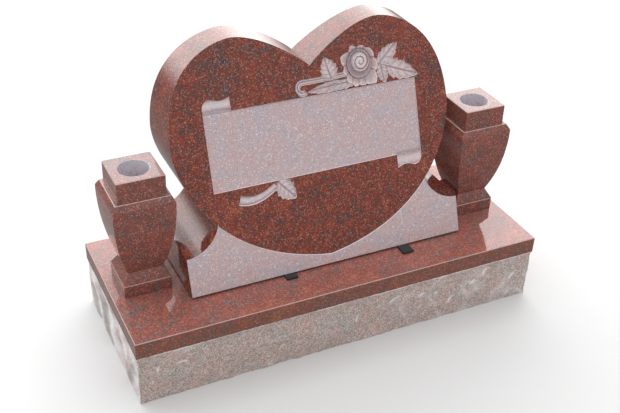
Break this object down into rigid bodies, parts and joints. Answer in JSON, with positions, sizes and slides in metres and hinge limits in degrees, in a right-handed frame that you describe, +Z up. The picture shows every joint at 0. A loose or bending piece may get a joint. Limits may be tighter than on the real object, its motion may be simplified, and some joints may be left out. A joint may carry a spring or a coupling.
{
  "type": "heart headstone",
  "caption": "Slant-faced granite heart growing out of a cradle, with a sunk scroll panel and carved rose, on a rock-pitched base with a square urn vase at each side.",
  "frame": {"origin": "on the ground, at the middle of the base's underside", "axes": "+Z up, -Y towards the carved face, +X along the base towards the right-hand urn as seen from the front"},
  "size_m": [0.914, 0.362, 0.621],
  "materials": {
    "base_granite": "red granite, polished on the top and on a margin round it, rock-pitched below the margin",
    "heart_granite": "red granite, mirror polished, with a frosted pink-grey cradle, panel and carving",
    "urn_granite": "red granite, polished",
    "packer_black": "matt black"
  },
  "bodies": {
    "root": {"base": "base_granite", "heart_stone": "heart_granite", "urn_left": "urn_granite", "urn_right": "urn_granite", "packer_left": "packer_black", "packer_right": "packer_black"}
  },
  "joints": []
}
